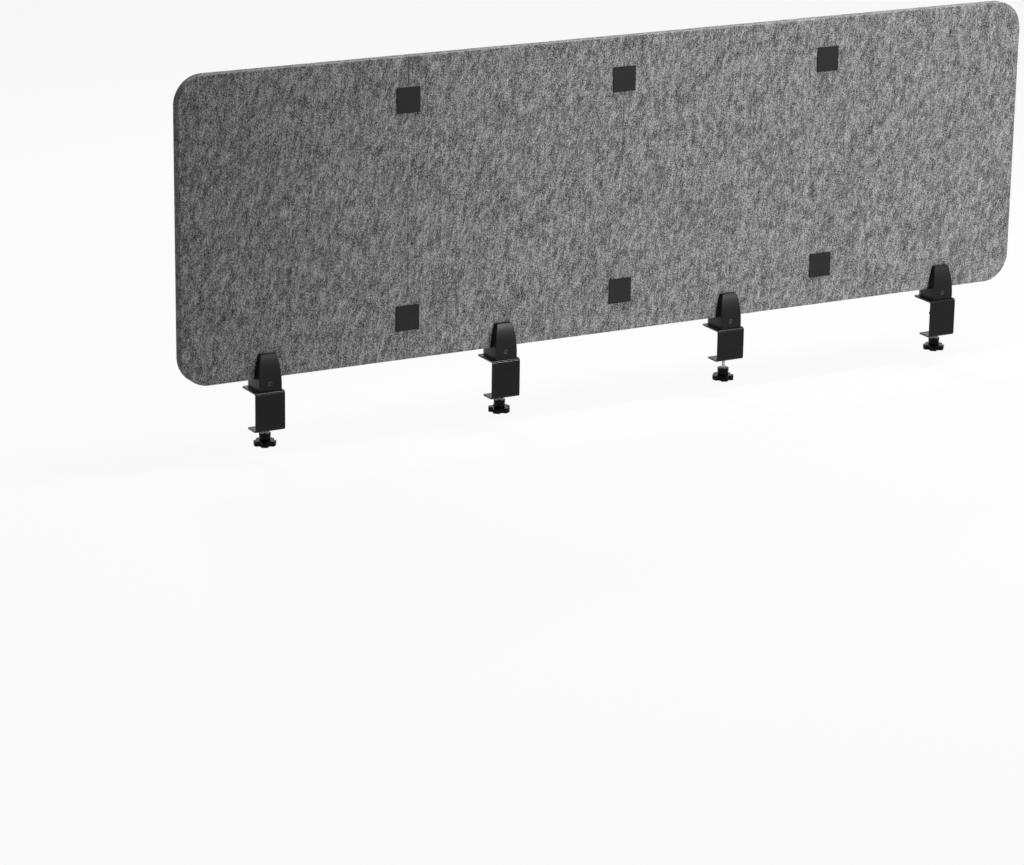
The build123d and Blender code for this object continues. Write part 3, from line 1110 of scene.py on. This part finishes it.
def for_each_clamp(kind, make, body, material, slot):
    """Models a piece once for each height, copies it to the other clamps and dresses all."""
    models = {}
    pieces = []
    for number in range(1, CLAMPS + 1):
        low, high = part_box(f"{kind}_{number}")
        height = round((high.z - low.z) / NEAR)
        if height in models:
            model, model_low = models[height]
            pieces.append(copy_to(model, kind, low - model_low))
        else:
            pieces.append(make(number))
            models[height] = pieces[-1], low
    for number, piece in enumerate(pieces, 1):
        piece.name = f"{kind}_{number}_finished"
        dress(piece, f"{body}_{number}", material, slot, f"{kind}_{number}")


def make_clamps():
    casting = powder_coat("casting_powder_coat", dark=0.002, light=0.0035, rough=0.29, shine=0.22)
    coated = powder_coat("bracket_powder_coat", dark=0.002, light=0.0035, rough=0.19, shine=0.2)
    black = black_oxide()
    for_each_clamp("clamp_bracket", bent_bracket, "clamp", coated, "bracket_coat")
    for_each_clamp("panel_holder", tower, "clamp", casting, "holder_coat")
    for_each_clamp("rear_jaw", rear_jaw, "rear_jaw", casting, "holder_coat")
    for_each_clamp("jaw_screw", jaw_screw, "jaw_screw", black, "black_screw")
    for_each_clamp("swivel_pad", swivel_pad, "swivel_pad", matt_moulding(), "pad_plastic")
    for_each_clamp("clamp_screw", clamp_screw, "clamp_screw", plated_steel(), "screw_steel")
    knobs(glossy_moulding())
    rubber = liner_rubber()
    for number in range(1, CLAMPS + 1):
        carried_over(f"desk_liner_{number}", rubber)
        carried_over(f"holder_screws_{number}", black)


# Studio


def seen_directly(tree):
    """A value that is 1 for camera, glossy and transmission rays and 0 for the light's."""
    path = tree.nodes.new("ShaderNodeLightPath")
    mirrored = blend_values(
        tree, "MAXIMUM", path.outputs["Is Glossy Ray"], path.outputs["Is Transmission Ray"]
    )
    return blend_values(tree, "MAXIMUM", path.outputs["Is Camera Ray"], mirrored)


def make_floor():
    """A plain white floor under the clamps, which keeps a soft shadow."""
    floor_middle = (0, 0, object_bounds()[0][2] - FLOOR_DROP)
    floor = level_sheet("floor", floor_middle, FLOOR_SIZE, FLOOR_SIZE)
    material, tree, shader = new_material("white_floor")
    shader.inputs["Base Color"].default_value = (FLOOR_PAINT, FLOOR_PAINT, FLOOR_PAINT, 1)
    shader.inputs["Roughness"].default_value = 0.9
    shader.inputs["Specular IOR Level"].default_value = 0.0
    white = tree.nodes.new("ShaderNodeEmission")
    white.inputs["Color"].default_value = (1, 1, 1, 1)
    mix = tree.nodes.new("ShaderNodeMixShader")
    glow = blend_values(tree, "MULTIPLY", seen_directly(tree), FLOOR_GLOW)
    tree.links.new(glow, mix.inputs["Fac"])
    tree.links.new(shader.outputs["BSDF"], mix.inputs[1])
    tree.links.new(white.outputs["Emission"], mix.inputs[2])
    tree.links.new(mix.outputs["Shader"], tree.nodes["Material Output"].inputs["Surface"])
    floor.data.materials.append(material)


def lamp_at(name, kind, place, aim, power):
    """A lamp of a kind that stands at a place and faces a point."""
    lamp = bpy.data.lights.new(name, kind)
    lamp.energy = power
    holder = bpy.data.objects.new(name, lamp)
    bpy.context.scene.collection.objects.link(holder)
    holder.location = place
    holder.rotation_euler = (Vector(aim) - Vector(place)).to_track_quat("-Z", "Y").to_euler()
    return lamp


def make_lamps():
    """A key from the front right, which fades towards the left end, one overhead and one behind."""
    key = lamp_at("key", "SPOT", KEY_PLACE, KEY_AIM, KEY_POWER)
    key.shadow_soft_size = KEY_RADIUS
    key.spot_size = radians(KEY_CONE)
    key.spot_blend = KEY_CONE_BLEND
    overhead = lamp_at("overhead", "AREA", OVERHEAD_PLACE, OVERHEAD_AIM, OVERHEAD_POWER)
    overhead.shape = "RECTANGLE"
    overhead.size = OVERHEAD_LENGTH
    overhead.size_y = OVERHEAD_DEPTH
    back = lamp_at("back", "SPOT", BACK_PLACE, BACK_AIM, BACK_POWER)
    back.shadow_soft_size = BACK_RADIUS
    back.spot_size = radians(BACK_CONE)
    back.spot_blend = BACK_CONE_BLEND


def make_world():
    """Even soft light from all round, with a white background for what sees it directly."""
    world = bpy.data.worlds.new("studio")
    world.use_nodes = True
    bpy.context.scene.world = world
    tree = world.node_tree
    light = tree.nodes["Background"]
    light.inputs["Color"].default_value = (1, 1, 1, 1)
    light.inputs["Strength"].default_value = WORLD_LIGHT
    white = tree.nodes.new("ShaderNodeBackground")
    white.inputs["Color"].default_value = (1, 1, 1, 1)
    white.inputs["Strength"].default_value = 1.0
    mix = tree.nodes.new("ShaderNodeMixShader")
    tree.links.new(seen_directly(tree), mix.inputs["Fac"])
    tree.links.new(light.outputs["Background"], mix.inputs[1])
    tree.links.new(white.outputs["Background"], mix.inputs[2])
    tree.links.new(mix.outputs["Shader"], tree.nodes["World Output"].inputs["Surface"])


def make_camera():
    """The camera at the photograph's place, turned by its azimuth, pitch and roll."""
    camera = bpy.data.cameras.new("camera")
    camera.sensor_fit = "HORIZONTAL"
    camera.sensor_width = SENSOR_WIDTH
    camera.lens = FOCAL_PIXELS / IMAGE_WIDTH * SENSOR_WIDTH
    holder = bpy.data.objects.new("camera", camera)
    bpy.context.scene.collection.objects.link(holder)
    turn = Matrix.Rotation(-CAMERA_AZIMUTH, 4, "Z")
    tilt = Matrix.Rotation(radians(90) + CAMERA_PITCH, 4, "X")
    roll = Matrix.Rotation(CAMERA_ROLL, 4, "Z")
    holder.matrix_world = Matrix.Translation(CAMERA_PLACE) @ turn @ tilt @ roll
    bpy.context.scene.camera = holder


make_panel()
make_clamps()
make_floor()
make_world()
make_camera()
make_lamps()
bpy.context.scene.view_settings.view_transform = "Standard"
